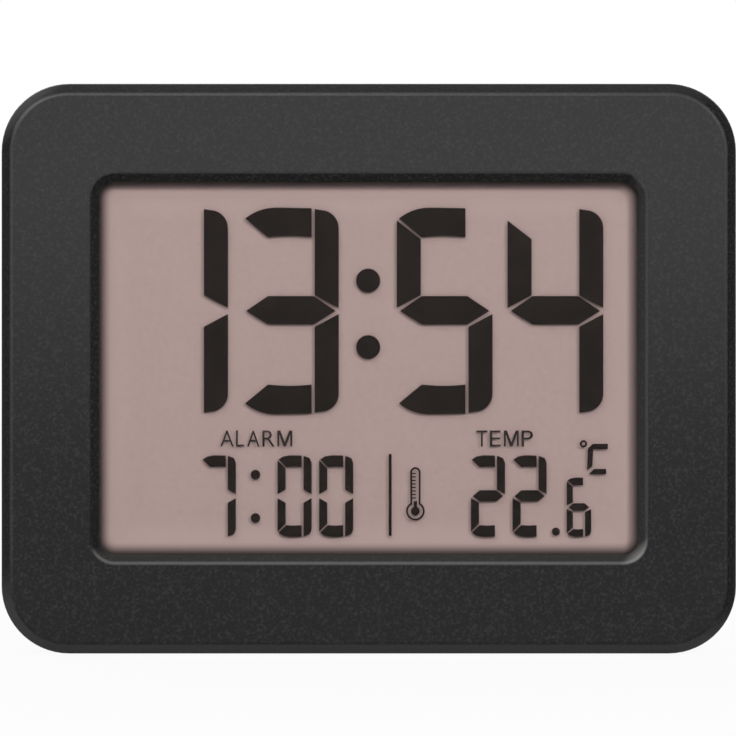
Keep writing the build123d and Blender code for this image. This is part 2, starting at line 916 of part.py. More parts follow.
def small_faces():
    """The alarm at 7:00, the divider, and the temperature of 22.6 with its point."""
    size = (
        small_across_share * window_width,
        small_up_share * window_height,
        small_stroke_across_share * window_width,
        small_stroke_up_share * window_height,
        small_gap,
        False,
    )
    tenths_size = (
        tenths_across_share * window_width,
        tenths_up_share * window_height,
        tenths_stroke_across_share * window_width,
        tenths_stroke_up_share * window_height,
        small_gap,
        False,
    )
    pitch, base = small_pitch_across_share * window_width, up(small_base_share)
    minutes, degrees = across(alarm_minutes_left_share), across(temperature_left_share)
    faces = digit("7", across(alarm_hour_left_share), base, size)
    faces += digit("0", minutes, base, size) + digit("0", minutes + pitch, base, size)
    faces += digit("2", degrees, base, size) + digit("2", degrees + pitch, base, size)
    faces += digit("6", across(tenths_left_share), base, tenths_size)
    dot = RegularPolygon(small_colon_radius_share * window_height, small_dot_sides)
    faces += [Pos(across(small_colon_across_share), up(share)) * dot for share in small_colon_up_shares]
    point = RegularPolygon(point_radius_share * window_height, small_dot_sides)
    faces.append(Pos(across(point_across_share), up(point_up_share)) * point)
    divider = Rectangle(divider_line_share * window_width, divider_up_share * window_height)
    middle = up(divider_base_share + divider_up_share / 2)
    faces.append(Pos(across(divider_across_share), middle) * divider)
    return faces


def display_segments():
    """Every figure's lit segments, as thin solids on the back of the front glass."""
    back = front_glass_back + segment_thickness
    return Compound([prism(face, front_glass_back, back).solid() for face in time_faces() + small_faces()])


# What the circuit board carries


def quartz_crystal():
    """The clock's quartz in its small can, lying on the board with its two leads."""
    x = chip_x - crystal_to_chip
    can_y = board_back + crystal_radius
    crystal = Pos(x, can_y, chip_z) * Cylinder(crystal_radius, crystal_length)
    lead_top = chip_z - crystal_length / 2 + joint_gap
    for side in (-1, 1):
        lead_x = x + side * crystal_radius / 2
        crystal += box_between(
            (lead_x - crystal_lead / 2, board_back, lead_top - crystal_radius),
            (lead_x + crystal_lead / 2, can_y, lead_top),
        )
    return crystal


def board_components():
    """The row of small parts above the chip."""
    row_z = chip_z + chip_side / 2 + small_part_pitch
    top = board_back + small_part_height
    parts = []
    for i in range(small_part_count):
        x = chip_x + small_part_pitch * (i - (small_part_count - 1) / 2)
        parts.append(bar(small_part_width, small_part_length, board_back, top, x, row_z).solid())
    return Compound(parts)


# Keys and switches


def switch_housings():
    """The five push switches' housings, each with a square seat for its plunger."""
    seat = plunger_side + 2 * plunger_clearance
    seat_floor = switch_top - plunger_seat - key_travel - plunger_clearance
    housings = []
    for x in key_places():
        housing = bar(switch_side, switch_side, board_back, switch_top, x, key_row_z)
        housing -= bar(seat, seat, seat_floor, switch_top + overrun, x, key_row_z)
        housings.append(housing.solid())
    return Compound(housings)


def switch_plunger(x):
    """A push switch's plunger, which the key presses into its housing."""
    return bar(plunger_side, plunger_side, switch_top - plunger_seat, plunger_top, x, key_row_z)


def key(x):
    """A key: its rounded cap, the flange that keeps it in the cover, and the stem behind."""
    cap = prism(Pos(x, key_row_z) * key_outline(), key_flange_back - joint_gap, key_top)
    flange = bar(
        key_length + 2 * key_flange,
        key_width + 2 * key_flange,
        key_flange_front,
        key_flange_back,
        x,
        key_row_z,
    )
    stem = bar(key_stem_side, key_stem_side, plunger_top, key_flange_front + joint_gap, x, key_row_z)
    return cap + flange + stem


def slide_switch_housing():
    """The alarm switch's body on the board, with the slot that its lever slides in."""
    x = slide_x + slide_travel / 2
    housing = bar(slide_body_length, slide_body_width, board_back, switch_top, x, key_row_z)
    slot_width = slide_lever_side + 2 * plunger_clearance
    slot_floor = switch_top - plunger_seat - plunger_clearance
    slot = bar(slot_width + slide_travel, slot_width, slot_floor, switch_top + overrun, x, key_row_z)
    return housing - slot


def slide_switch_lever():
    """The alarm switch's lever, which rides in the knob's socket."""
    base, top = switch_top - plunger_seat, switch_top + slide_lever_rise
    return bar(slide_lever_side, slide_lever_side, base, top, slide_x, key_row_z)


def slide_knob():
    """The alarm switch's knob: a ribbed cap, a neck through the cover and a socket for the lever."""
    cap_base = panel_floor + key_clearance
    knob = bar(slide_knob_length, slide_knob_width, cap_base, key_top, slide_x, key_row_z)
    knob = chamfer(edges_at_depth(knob, key_top), knob_edge)
    groove_floor, groove_length = key_top - slide_rib_depth, slide_knob_width + overrun
    for i in range(slide_rib_count):
        x = slide_x + slide_knob_length / (slide_rib_count + 1) * (i - (slide_rib_count - 1) / 2)
        knob -= bar(slide_rib_width, groove_length, groove_floor, key_top + overrun, x, key_row_z)
    knob += bar(slide_neck_length, slide_neck_width, key_flange_back, cap_base, slide_x, key_row_z)
    flange = slide_neck_length + 2 * key_flange, slide_neck_width + 2 * key_flange
    knob += bar(*flange, key_flange_front, key_flange_back, slide_x, key_row_z)
    lever_top = switch_top + slide_lever_rise
    stem_base = lever_top - slide_socket_depth
    stem_width = slide_neck_width + key_flange
    knob += bar(slide_neck_length, stem_width, stem_base, key_flange_front, slide_x, key_row_z)
    socket = slide_lever_side + 2 * joint_gap
    return knob - bar(socket, socket, stem_base - overrun, lever_top, slide_x, key_row_z)


# Battery pocket


def cell_centre(side):
    """The middle of a cell as X and Z. side is 1 for the upper cell, whose tip is at +X."""
    return side * cell_shift, pocket_z + side * cell_pitch / 2


def battery_cell(side):
    """One cell with its tip, lying along X."""
    x, z = cell_centre(side)
    can = Cylinder(cell_radius, cell_length)
    nub = Pos(0, 0, cell_length / 2 + cell_nub_length / 2) * Cylinder(cell_nub_radius, cell_nub_length)
    return Pos(x, cell_y, z) * Rot(0, 90 * side, 0) * (can + nub)


def contact_plate(end, z):
    """A flat contact against one end wall of the pocket. end is 1 at +X and -1 at -X."""
    low, high = sorted((end * contact_face, end * pocket_end))
    half, top = contact_width / 2, pocket_floor + contact_height
    return box_between((low, pocket_floor, z - half), (high, top, z + half))


def contact_bow(end, z, reach):
    """A bent strip that presses on a cell's end, in one piece with the contact's plate."""
    low, high = pocket_floor + contact_thickness, pocket_floor + contact_height - contact_thickness
    low_bend, high_bend = cell_y - contact_bow_width / 2, cell_y + contact_bow_width / 2
    base, peak = end * contact_face, end * (contact_face - reach)
    inner_peak = end * (contact_face - reach + contact_thickness)
    profile = make_face(
        Polyline(
            (base, low),
            (peak, low_bend),
            (peak, high_bend),
            (base, high),
            (base, high - contact_thickness),
            (inner_peak, high_bend - contact_thickness / 2),
            (inner_peak, low_bend + contact_thickness / 2),
            (base, low + contact_thickness),
            close=True,
        )
    )
    plane = Plane(origin=(0, 0, z - contact_bow_width / 2), x_dir=(1, 0, 0), z_dir=(0, 0, 1))
    return extrude(plane * profile, amount=contact_bow_width)


def contact_gap(end, side):
    """The space between a contact's plate and the cell's end, at one end of one cell."""
    x, _ = cell_centre(side)
    half = cell_length / 2 + (cell_nub_length if end == side else 0)
    return contact_face - abs(x + end * half) - joint_gap


def contact(end, sides):
    """A contact at one end of the pocket for the cells on those sides."""
    made = None
    for side in sides:
        _, z = cell_centre(side)
        piece = contact_plate(end, z) + contact_bow(end, z, contact_gap(end, side))
        made = piece if made is None else made + piece
    if len(sides) > 1:
        low, high = sorted((end * contact_face, end * pocket_end))
        reach = cell_pitch / 2
        bridge_top = pocket_floor + contact_height / 2
        made += box_between((low, pocket_floor, pocket_z - reach), (high, bridge_top, pocket_z + reach))
    return made


# Door and foot


def battery_door():
    """The battery door: a plate with two hooks below, a sprung thumb latch above and grip lines."""
    inside = back_y - door_sink - door_thickness
    outside = back_y - door_sink
    door = prism(rounded(door_width, door_height, door_corner, 0, pocket_z), inside, outside)
    door_top = pocket_z + door_height / 2
    latch_z = door_top - latch_length / 2
    for side in (-1, 1):
        x = side * (latch_width / 2 + latch_slot / 2)
        door -= bar(latch_slot, latch_length, inside - overrun, outside + overrun, x, latch_z)
    for i in range(grip_count):
        z = latch_z + grip_pitch * (i - (grip_count - 1) / 2)
        door -= bar(latch_width - 2 * grip_pitch, grip_width, outside - grip_depth, outside + overrun, 0, z)
    middle = (inside + outside) / 2
    catch = catch_thickness / 2
    door += bar(catch_width, 2 * catch_reach, middle - catch, middle + catch, 0, door_top)
    for x in (-hook_spacing / 2, hook_spacing / 2):
        hook_back = cover_inside - door_gap
        foot = box_between(
            (x - hook_width / 2, hook_back - hook_depth, door_base - hook_reach),
            (x + hook_width / 2, hook_back, door_base + hook_reach),
        )
        web = box_between(
            (x - hook_width / 2, hook_back - joint_gap, door_base + door_gap),
            (x + hook_width / 2, inside + joint_gap, door_base + hook_reach),
        )
        door += foot + web
    return door


def foot_leg():
    """The folding foot: a tapering plate with rounded corners, a barrel, two trunnions and ribs inside."""
    plate = prism(foot_outline(), foot_front, foot_back)
    barrel = Rot(0, 90, 0) * Cylinder(foot_barrel_radius, foot_width)
    pin = Rot(0, 90, 0) * Cylinder(trunnion_radius, foot_width + 2 * trunnion_length)
    leg = plate + Pos(0, foot_axis_y, foot_axis_z) * (barrel + pin)
    rib_length = foot_rib_length_share * foot_reach
    rib_middle = foot_axis_z + (foot_reach + foot_barrel_radius) / 2
    for i in range(foot_rib_count):
        x = foot_tip_width / (foot_rib_count + 1) * (i - (foot_rib_count - 1) / 2)
        leg += bar(foot_rib_width, rib_length, foot_front - foot_rib_depth, foot_front, x, rib_middle)
    return leg


# Leads and sensor


def battery_lead(side):
    """The wire from a contact's tag out beside the pocket, round a cut corner and down to the board."""
    _, z = cell_centre(side)
    start_x = pocket_end + pocket_wall + contact_tag_length
    end_x = start_x + lead_spread
    tag_y = pocket_floor + contact_height / 2
    path = Polyline(
        (start_x, tag_y, z),
        (end_x - lead_corner, tag_y, z),
        (end_x, tag_y - lead_corner, z),
        (end_x, board_back, z),
    )
    section = Plane(origin=path @ 0, z_dir=path % 0) * RegularPolygon(lead_radius, lead_sides)
    return sweep(section, path=path, transition=Transition.RIGHT)


def contact_tag(side):
    """The tag by which a contact reaches through the pocket's end wall to its wire."""
    _, z = cell_centre(side)
    tag_y = pocket_floor + contact_height / 2
    half = contact_tag_width / 2
    start = pocket_end - joint_gap
    end = pocket_end + pocket_wall + contact_tag_length
    thick = contact_thickness / 2
    return box_between((start, tag_y - thick, z - half), (end, tag_y + thick, z + half))


def tag_slot(side):
    """The slot in the pocket's end wall that a contact's tag passes through."""
    _, z = cell_centre(side)
    tag_y = pocket_floor + contact_height / 2
    half = contact_tag_width / 2 + contact_slot_clearance
    thick = contact_thickness / 2 + contact_slot_clearance
    return box_between(
        (pocket_end - joint_gap, tag_y - thick, z - half),
        (pocket_end + pocket_wall + overrun, tag_y + thick, z + half),
    )


def temperature_sensor():
    """The sensor's small body on two legs, behind the vents."""
    sensor_back = board_back + sensor_rise
    sensor_front = sensor_back - sensor_length
    sensor = bar(sensor_side, sensor_side, sensor_front, sensor_back, -beside_door, pocket_z)
    for side in (-1, 1):
        x = side * sensor_leg_spacing / 2 - beside_door
        sensor += bar(sensor_leg_side, sensor_leg_side, board_back, sensor_front + joint_gap, x, pocket_z)
    return sensor


def nodes():
    """Every separate piece of the clock, by name."""
    cover = rear_cover()
    for side in (-1, 1):
        cover -= tag_slot(side)
    made = {
        "front_case": front_case(),
        "rear_cover": cover,
        "window_lens": window_lens(),
        "display_gasket": display_gasket(),
        "front_polarizer": glass_sheet(polarizer_inset, rear_glass_height, gasket_back, front_glass_front),
        "lcd_front_glass": glass_sheet(0, front_glass_height, front_glass_front, front_glass_back),
        "lcd_segments": display_segments(),
        "lcd_seal": display_seal(),
        "lcd_rear_glass": glass_sheet(0, rear_glass_height, cell_gap_back, rear_glass_back),
        "lcd_reflector": glass_sheet(reflector_inset, rear_glass_height, rear_glass_back, reflector_back),
        "display_holder": display_holder(),
        "zebra_strip_lower": zebra_strip(zebra_heights()[0]),
        "zebra_strip_upper": zebra_strip(zebra_heights()[1]),
        "main_board": bar(board_width, board_height, board_front, board_back, 0, centre_z),
        "controller_chip": bar(chip_side, chip_side, board_back, board_back + chip_height, chip_x, chip_z),
        "quartz_crystal": quartz_crystal(),
        "board_components": board_components(),
        "switch_housings": switch_housings(),
        "slide_switch_housing": slide_switch_housing(),
        "slide_switch_lever": slide_switch_lever(),
        "slide_knob": slide_knob(),
        "battery_cell_upper": battery_cell(1),
        "battery_cell_lower": battery_cell(-1),
        "contact_positive": contact(1, (1,)) + contact_tag(1),
        "contact_negative": contact(1, (-1,)) + contact_tag(-1),
        "contact_bridge": contact(-1, (1, -1)),
        "lead_positive": battery_lead(1),
        "lead_negative": battery_lead(-1),
        "battery_door": battery_door(),
        "folding_foot": foot_leg(),
        "sounder": rod(beside_door, pocket_z, sounder_radius, board_back, board_back + sounder_height),
        "temperature_sensor": temperature_sensor(),
    }
    for name, x in zip(("set", "up", "down", "snooze", "unit"), key_places()):
        made[f"key_{name}"] = key(x)
        made[f"plunger_{name}"] = switch_plunger(x)
    return made


os.makedirs("parts", exist_ok=True)
for name, shape in nodes().items():
    export_step(shape, f"parts/{name}.step")
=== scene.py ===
import json
from math import cos, pi, radians, sin

import bmesh
import bpy
from mathutils import Matrix, Vector


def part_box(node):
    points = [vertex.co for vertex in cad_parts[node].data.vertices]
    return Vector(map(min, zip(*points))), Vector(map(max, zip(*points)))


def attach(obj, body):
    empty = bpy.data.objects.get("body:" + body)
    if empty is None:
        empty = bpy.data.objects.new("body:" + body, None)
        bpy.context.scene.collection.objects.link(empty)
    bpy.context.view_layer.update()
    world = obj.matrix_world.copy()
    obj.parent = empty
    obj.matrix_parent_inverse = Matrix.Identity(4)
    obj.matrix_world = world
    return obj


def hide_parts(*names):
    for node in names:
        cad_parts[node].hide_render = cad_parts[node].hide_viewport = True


# A digital desk clock, dressed. The CAD mouldings get rounded ridges, every piece gets its finish, and the
# display's words and small signs, the case screws and the switch's marks are added. Lengths are in metres.
# The clock stands on Z = 0 and faces -Y.

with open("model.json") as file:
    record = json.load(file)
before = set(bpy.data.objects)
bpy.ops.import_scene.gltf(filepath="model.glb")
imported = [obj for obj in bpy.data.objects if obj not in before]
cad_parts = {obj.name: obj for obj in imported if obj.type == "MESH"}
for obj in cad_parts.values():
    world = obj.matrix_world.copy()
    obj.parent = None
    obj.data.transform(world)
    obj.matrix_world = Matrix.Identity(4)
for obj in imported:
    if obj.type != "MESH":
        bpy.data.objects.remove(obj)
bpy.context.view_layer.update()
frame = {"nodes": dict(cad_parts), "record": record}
nodes = frame["nodes"]

# Depths and outlines, read from the frame
case_low, case_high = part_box("front_case")
lens_low, lens_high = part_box("window_lens")
segments_low, segments_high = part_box("lcd_segments")
face_y = case_low.y
back_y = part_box("rear_cover")[1].y
body_width = case_high.x - case_low.x
body_height = case_high.z - case_low.z
middle_z = (case_low.z + case_high.z) / 2
segment_thickness = segments_high.y - segments_low.y

# The window, which the lens overlaps from behind, and the slopes at its edge and at the case's
lens_overlap = 0.0032
window_left = lens_low.x + lens_overlap
window_base = lens_low.z + lens_overlap
window_width = lens_high.x - lens_low.x - 2 * lens_overlap
window_height = lens_high.z - lens_low.z - 2 * lens_overlap
window_corner = 0.0036
window_slope = 0.0022
window_lip = 0.0004
body_corner = 0.0152
body_slope = 0.0022
slope_depth = 0.0032
back_slope_depth = 0.0032

# Roundings of the mouldings, as a radius and a count of facets
face_rounding = (0.0007, 5)
side_rounding = (0.0006, 4)
window_rounding = (0.00035, 3)
lip_rounding = (0.00022, 2)
back_rounding = (0.0007, 4)
key_rounding = (0.0006, 4)
ridge_angle = radians(25.0)
smooth_angle = radians(40.0)
flat_angle = radians(0.5)
merge_distance = 0.000001
depth_slack = 0.00002
ridge_margin = 0.005

# Signs in the display, in shares of the window's width and height, with their lines in metres
alarm_letters = (
    ("A", 0.2240, 0.2488),
    ("L", 0.2529, 0.2686),
    ("A", 0.2736, 0.2968),
    ("R", 0.3022, 0.3251),
    ("M", 0.3298, 0.3576),
)
temp_letters = (
    ("T", 0.7000, 0.7205),
    ("E", 0.7250, 0.7451),
    ("M", 0.7511, 0.7789),
    ("P", 0.7840, 0.8052),
)
word_base_up = 0.2906
word_top_up = 0.3336
thermometer_across = 0.5866
bulb_up = 0.1166
bulb_radius = 0.0021
tube_radius = 0.00118
tube_top_up = 0.2350
drop_radius = 0.00098
column_half = 0.00038
column_top_up = 0.1435
sign_line = 0.00042
tick_count = 8
tick_base_up = 0.1519
tick_pitch_up = 0.00945
tick_length = 0.0009
tick_line = 0.00028
tick_lap = 0.00005
degree_place = (0.8991, 0.2978)
degree_radius = 0.00083
degree_line = 0.00044
unit_left = 0.9058
unit_right = 0.9446
unit_base = 0.2159
unit_top = 0.2978
unit_line = 0.0012
unit_lean = 0.0002
unit_gap = 0.00038

# Facets of the round signs, with the ring's last point one facet short of its first
tube_steps = 12
bulb_steps = 36
drop_steps = 30
ring_steps = 35
ring_end = 350.0

# Letters: how much thinner than the plain font's, and the M in shares of its width and height
letter_thinning = 0.004
m_stem = 0.13
m_foot = 0.08
m_shoulder = 0.20
m_fork = 0.76
m_notch = 0.27

# Display cell
cell_lap = 0.00002
cell_chamfer = 0.00015
weld_distance = 0.00001

# Case screws
screw_inset = 0.0115
screw_seat_depth = 0.0055
screw_head_radius = 0.0025
screw_head_height = 0.0018
screw_head_facets = 48
screw_rounding = (0.0006, 4)
screw_shank_radius = 0.0013
screw_shank_length = 0.0098
screw_shank_facets = 24
screw_smooth_angle = radians(35.0)
cross_length = 0.0028
cross_width = 0.00065
cross_depth = 0.0009

# Switch marks on the back, with their places from the middle and the top of the switch's knob
mark_height = 0.0020
mark_width_share = 0.8
mark_thickness = 0.00004
mark_rise = 0.0058
off_shift = -0.0022
on_shift = 0.0052

# Tones of the front case, as linear red, green and blue: its face in painted light, its sides, the slope
# round the face and the slope down to the window in painted light and shade, and the painted highlight on the
# ridges
# Painted light on the face: darker at its foot and paler towards its top
face_dark = (0.0190, 0.0189, 0.0190)
face_light = (0.0386, 0.0384, 0.0386)
face_speck = (0.1000, 0.0995, 0.1000)
side_tone = (0.0270, 0.0269, 0.0270)
# Painted shade and light on the slope round the face, with a painted highlight at its upper left corner
slope_painted_shade = (0.0070, 0.0069, 0.0070)
slope_right_painted_shade = (0.0015, 0.0015, 0.0015)
slope_top_painted_light = (0.0210, 0.0209, 0.0210)
slope_painted_light = (0.0490, 0.0488, 0.0490)
slope_painted_highlight = (0.0560, 0.0555, 0.0550)
# Painted shade and light on the slope down to the window, with a painted highlight at its lower right corner
splay_painted_shade = (0.0092, 0.0088, 0.0087)
splay_right_painted_light = (0.0290, 0.0270, 0.0270)
splay_painted_light = (0.0290, 0.0285, 0.0272)
splay_painted_highlight = (0.1700, 0.1670, 0.1600)
# Painted highlight along the ridges
painted_ridge_highlight = (0.2000, 0.1990, 0.1980)

# Where these tones begin and end on the front case
face_dark_z = 0.024
face_light_z = 0.112
slope_fade = 0.0005
rim_fade_shares = (0.6, 0.4)
slope_end_share = 2.5
lit_lean = 0.055
lit_full_z = 0.0050
lit_end_z = 0.0165
gleam_share = 0.35
splay_gleam_shares = (0.2, 1.1)
speck_levels = (0.45, 0.75)
speck_share = 0.26

# The polished ridges: their bands, the clear coat that stands for the polish, and the shares of their painted
# highlight
band_core_share = 0.3
ridge_half = 0.00055
ridge_shift = 0.00015
splay_half = 0.0005
splay_shift = 0.0004
coat_least = 0.18
coat_more = 0.32
coat_rise = (0.010, 0.110)
coat_gleam = 0.4
coat_corner_shares = (0.45, 1.6)
coat_below = 0.95
coat_beside = 0.6
coat_roughness = 0.28
outer_highlight_share = 0.35
inner_highlight_share = 0.22

# The display's film: its mottle, the painted light along its border, and the painted shade of the window's
# edge on it
film_dark = (0.408, 0.3015, 0.284)
film_pale = (0.457, 0.336, 0.317)
film_painted_light = (0.502, 0.370, 0.349)
film_painted_shade = (0.040, 0.030, 0.028)
border_ends = (0.010, 0.002)
border_edges = (0.0015, 0.0090)
shade_reach = (-0.0005, 0.00265)
shade_rise = 0.00024

# Grain, mottle and scuffs: how far apart their features lie
spark_grain = 0.00065
mould_grain = 0.00050
mould_cloud = 0.0060
face_cloud = 0.0040
lens_smear = 0.012
film_mottle = 0.0011
film_cloud = 0.014
ink_cloud = 0.0030
drawn_lines = 0.00020
plating_spots = 0.0015
board_weave = 0.0006
rubber_pores = 0.0004
wrap_scuff = 0.0020

# Grain, lines and tracks: how high they stand
spark_depth = 0.00010
mould_depth = 0.00003
satin_depth = 0.00001
film_depth = 0.00001
drawn_depth = 0.000008
track_depth = 0.00003
pore_depth = 0.00005

# Copper tracks of the board, and where a cell's printed wrap ends, from the middle of the clock
track_scale = 120.0
track_distortion = 2.0
wrap_end = 0.0213
steel_start = 0.0216

# Photograph's frame: the clock is 734.7 pixels wide in it, and its middle is a little right of the frame's
# middle and a little below it
photo_side = 736
clock_pixels = 734.7
right_pixels = 0.82
down_pixels = 0.67
camera_distance = 1.4
sensor_width = 36.0
nearest_seen = 0.05
furthest_seen = 20.0

# Studio: the floor, and the lamps by name, place, width and height, and brightness, where 1 is white paper's
floor_size = 6.0
floor_paint = (0.80, 0.80, 0.80, 1.0)
floor_white_share = 0.94
white = (1.0, 1.0, 1.0, 1.0)
room_light = 0.10
lamps = (
    ("front", (0.0, -2.2, 0.62), (0.7, 0.6), 13.2),
    ("key", (0.56, -1.16, 0.46), (0.20, 0.20), 38.0),
    ("main", (-0.40, -1.05, 1.05), (0.9, 0.5), 3.0),
    ("back_left", (-0.6, 1.5, 0.9), (0.9, 0.9), 7.0),
    ("back_right", (0.7, 1.6, 0.5), (0.9, 0.9), 5.0),
)


class Value:
    """A node's socket. Sums written with it add Math nodes."""

    def __init__(self, finish, socket):
        self.finish = finish
        self.socket = socket

    def __add__(self, other):
        return self.finish.math("ADD", self, other)

    def __radd__(self, other):
        return self.finish.math("ADD", other, self)

    def __sub__(self, other):
        return self.finish.math("SUBTRACT", self, other)

    def __rsub__(self, other):
        return self.finish.math("SUBTRACT", other, self)

    def __mul__(self, other):
        return self.finish.math("MULTIPLY", self, other)

    def __rmul__(self, other):
        return self.finish.math("MULTIPLY", other, self)


class Finish:
    """A material being made: its node tree and the shader that the tree feeds."""

    def __init__(self, name, tree=None):
        if tree is None:
            self.material = bpy.data.materials.new(name)
            self.material.use_nodes = True
            tree = self.material.node_tree
        self.tree = tree
        self.tree.nodes.clear()

    def node(self, kind, settings, inputs, output=0):
        """Adds a node, sets it up, then gives its sockets their values or links."""
        made = self.tree.nodes.new(kind)
        for key, value in settings.items():
            setattr(made, key, value)
        for key, value in inputs.items():
            if isinstance(value, Value):
                self.tree.links.new(value.socket, made.inputs[key])
            else:
                made.inputs[key].default_value = value
        return Value(self, made.outputs[output]) if len(made.outputs) else None

    def math(self, operation, first, second):
        return self.node("ShaderNodeMath", {"operation": operation}, {0: first, 1: second})

    def size_of(self, value):
        """A value without its sign."""
        return self.math("ABSOLUTE", value, 0.0)

    def blend(self, share, first, second):
        """A colour between two others."""
        colours = [(*c, 1.0) if isinstance(c, tuple) else c for c in (first, second)]
        settings = {"data_type": "RGBA"}
        return self.node("ShaderNodeMix", settings, {0: share, 6: colours[0], 7: colours[1]}, output=2)

    def place(self):
        """A point of the piece, in metres."""
        return self.node("ShaderNodeTexCoord", {}, {}, output="Object")

    def axis(self, name):
        """One coordinate of a point, in metres."""
        return self.node("ShaderNodeSeparateXYZ", {}, {0: self.place()}, output=name)

    def inside(self, width, height, radius, rise=0.0):
        """How far a point lies inside a rounded rectangle about the middle of the face, in metres."""
        across = self.size_of(self.axis("X")) - (width / 2 - radius)
        up = self.size_of(self.axis("Z") - (middle_z + rise)) - (height / 2 - radius)
        beyond_x = self.math("MAXIMUM", across, 0.0)
        beyond_z = self.math("MAXIMUM", up, 0.0)
        corner = self.math("SQRT", beyond_x * beyond_x + beyond_z * beyond_z, 0.0)
        straight = self.math("MINIMUM", self.math("MAXIMUM", across, up), 0.0)
        return radius - corner - straight

    def band(self, distance, middle, half):
        """1 where a distance is at the middle of a band, falling to 0 at its edges."""
        return 1.0 - self.step(self.size_of(distance - middle), band_core_share * half, half)

    def noise(self, size, detail=2.0, stretch=(1.0, 1.0, 1.0), roughness=0.5):
        """Soft noise whose features are about size across, in metres, or longer along a stretched axis."""
        settings = {"vector_type": "POINT"}
        scale = tuple(1.0 / part for part in stretch)
        points = self.node("ShaderNodeMapping", settings, {"Vector": self.place(), "Scale": scale})
        inputs = {"Vector": points, "Scale": 1.0 / size, "Detail": detail, "Roughness": roughness}
        return self.node("ShaderNodeTexNoise", {}, inputs)

    def step(self, value, low, high):
        """0 below low and 1 above high, with a smooth rise between."""
        inputs = {"Value": value, "From Min": low, "From Max": high}
        return self.node("ShaderNodeMapRange", {"interpolation_type": "SMOOTHSTEP"}, inputs)

    def bump(self, height, depth, strength):
        """A normal from a height that goes from 0 to 1, where 1 is depth metres high."""
        inputs = {"Strength": strength, "Distance": depth, "Height": height}
        return self.node("ShaderNodeBump", {}, inputs, output="Normal")

    def seen_white(self):
        """1 for the rays that find the surroundings white: the camera's, and those from gloss and glass."""
        kinds = ("Is Camera Ray", "Is Glossy Ray", "Is Transmission Ray")
        camera, glossy, passed = [self.node("ShaderNodeLightPath", {}, {}, output=kind) for kind in kinds]
        return camera + glossy + passed

    def surface(self, inputs):
        """Finishes the material with its shader."""
        shader = self.node("ShaderNodeBsdfPrincipled", {}, inputs)
        self.node("ShaderNodeOutputMaterial", {}, {"Surface": shader})
        return self.material


# Finishes


def face_slope_tone(finish, gleam):
    """The slope round the face in painted light and shade: painted darkest at the right, painted lighter at
    its top, along its foot and round the lower corners, and with a painted highlight at the upper left
    corner. Behind the slope the case's sides are plain."""
    foot = 1.0 - finish.step(finish.axis("Z") + lit_lean * finish.axis("X"), lit_full_z, lit_end_z)
    top_start = body_height - slope_end_share * body_slope
    top = finish.step(finish.axis("Z"), top_start, body_height - body_slope / 2)
    side_start = face_y + slope_depth
    side = finish.step(finish.axis("Y"), side_start, side_start + slope_fade)
    # Painted shade, darkest at the right, then painted light at the top and the foot, and a painted highlight
    tone = finish.blend(finish.step(finish.axis("X"), 0.0, body_width / 2), slope_painted_shade, slope_right_painted_shade)
    tone = finish.blend(foot, finish.blend(top, tone, slope_top_painted_light), slope_painted_light)
    tone = finish.blend(gleam, tone, slope_painted_highlight)
    return finish.blend(side, tone, side_tone)


def window_slope_tone(finish, below, beside):
    """The slope down to the window in painted light and shade: painted paler below and at the right, with a
    painted highlight at its lower right corner.
    """
    corner_start = window_width / 2 - window_base - window_corner
    gleam_start, gleam_end = [corner_start + share * window_corner for share in splay_gleam_shares]
    gleam = finish.step(finish.axis("X") - finish.axis("Z"), gleam_start, gleam_end)
    # Painted light below and at the right, then a painted highlight at the lower right corner
    tone = finish.blend(below, finish.blend(beside, splay_painted_shade, splay_right_painted_light), splay_painted_light)
    return finish.blend(gleam, tone, splay_painted_highlight)


